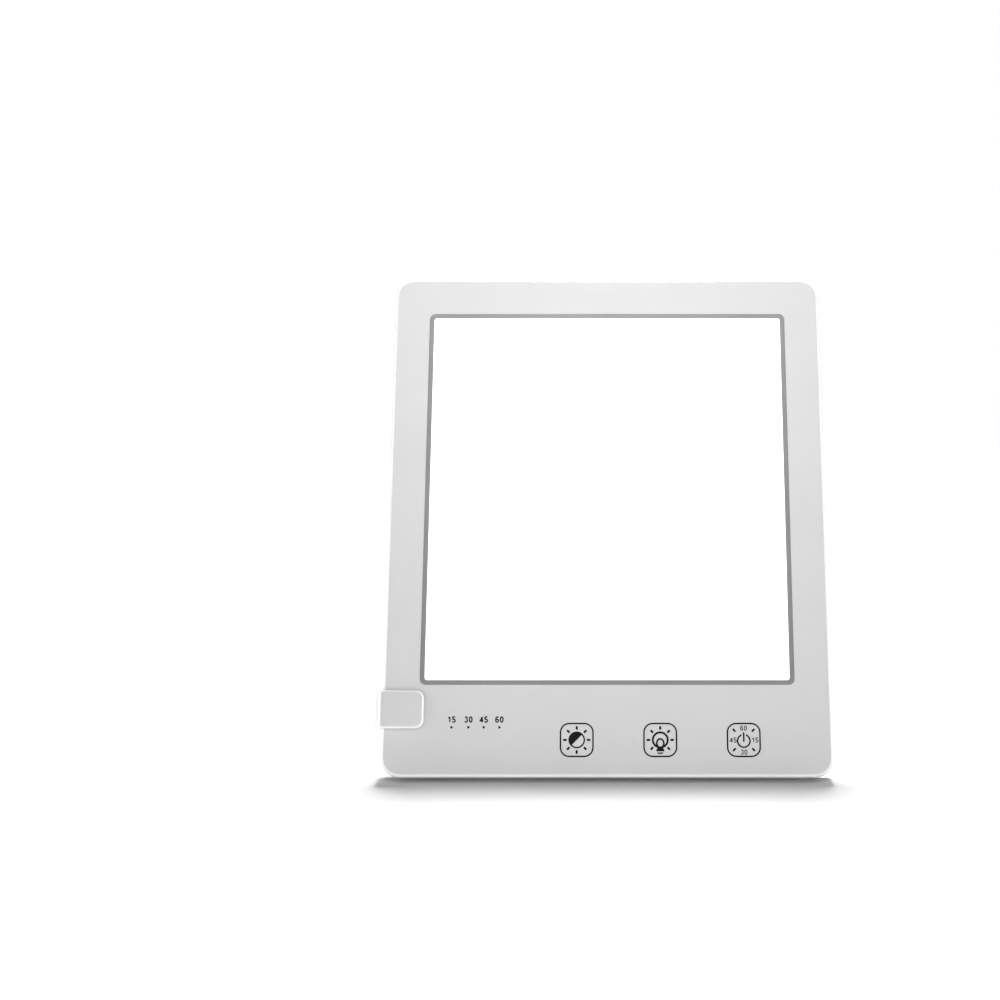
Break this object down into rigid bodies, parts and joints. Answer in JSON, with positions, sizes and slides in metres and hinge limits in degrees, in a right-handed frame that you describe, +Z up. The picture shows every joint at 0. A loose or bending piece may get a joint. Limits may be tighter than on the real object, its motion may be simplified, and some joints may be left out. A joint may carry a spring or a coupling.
{
  "type": "light table",
  "caption": "Slim edge-lit light panel with a glowing opal window, touch keys on its chin and a clip-on folding leg that props it leaning back.",
  "frame": {"origin": "middle of the object's footprint box, on the table it stands on", "axes": "+Z up; the glowing window faces -Y, leaning back 16 degrees; +X to the right seen from the front"},
  "size_m": [0.1875, 0.1113, 0.2096],
  "materials": {
    "casing_white": "white moulded, satin",
    "panel_grey": "light grey, satin",
    "line_grey": "dark grey, satin",
    "opal": "milky, lit from behind",
    "tape_white": "double-sided tape",
    "film": "clear sheet",
    "clear_acrylic": "polished edge",
    "reflector": "bright white sheet",
    "bare_aluminium": "mill finish",
    "screw_steel": "zinc plated",
    "board_green": "solder mask",
    "board_white": "white solder mask",
    "led_yellow": "phosphor",
    "tape_grey": "heat-conducting tape",
    "flex_amber": "polyimide",
    "plug_cream": "moulded",
    "smoked_pin": "smoked, polished end",
    "black_plastic": "moulded",
    "ferrite": "ferrite, dull",
    "can_aluminium": "drawn can",
    "socket_steel": "bright plated",
    "pad_rubber": "soft, dull",
    "pin_steel": "ground",
    "washer_plastic": "acetal",
    "foam_black": "conductive foam"
  },
  "bodies": {
    "panel": {"side_frame": "casing_white", "front_panel": "panel_grey", "front_tape_ring": "tape_white", "window_gasket": "line_grey", "back_cover": "casing_white", "opal_diffuser": "opal", "diffuser_film": "film", "prism_film": "film", "light_guide": "clear_acrylic", "reflector_sheet": "reflector", "backlight_tray": "bare_aluminium", "tray_screws": "screw_steel", "control_board": "board_green", "board_screws": "screw_steel", "timer_leds": "led_yellow", "timer_light_pipes": "smoked_pin", "timer_baffle": "black_plastic", "touch_control_chip": "black_plastic", "led_driver_chip": "black_plastic", "power_inductor": "ferrite", "capacitors": "can_aluminium", "usb_shell": "socket_steel", "usb_tongue": "black_plastic", "touch_pad_timer": "foam_black", "touch_pad_lamp": "foam_black", "touch_pad_brightness": "foam_black", "led_board_right": "board_white", "led_board_left": "board_white", "led_row_right": "led_yellow", "led_row_left": "led_yellow", "led_tape_right": "tape_grey", "led_tape_left": "tape_grey", "led_flex_right": "flex_amber", "led_flex_left": "flex_amber", "led_plug_right": "plug_cream", "led_plug_left": "plug_cream"},
    "clip": {"edge_clip": "casing_white", "clip_pad_front": "pad_rubber", "clip_pad_rear": "pad_rubber", "hinge_pin": "pin_steel", "hinge_washers": "washer_plastic"},
    "leg": {"prop_leg": "casing_white", "leg_foot_pad": "pad_rubber"}
  },
  "joints": [
    {"name": "clip_slide", "type": "slide", "parent": "panel", "child": "clip", "axis": [-1, 0, 0], "range_m": [0, 0.025]},
    {"name": "leg_fold", "type": "hinge", "parent": "clip", "child": "leg", "pos_m": [-0.08508, -0.03034, 0.0244], "axis": [0, -0.2756, -0.9613], "range_deg": [0, 90]}
  ]
}
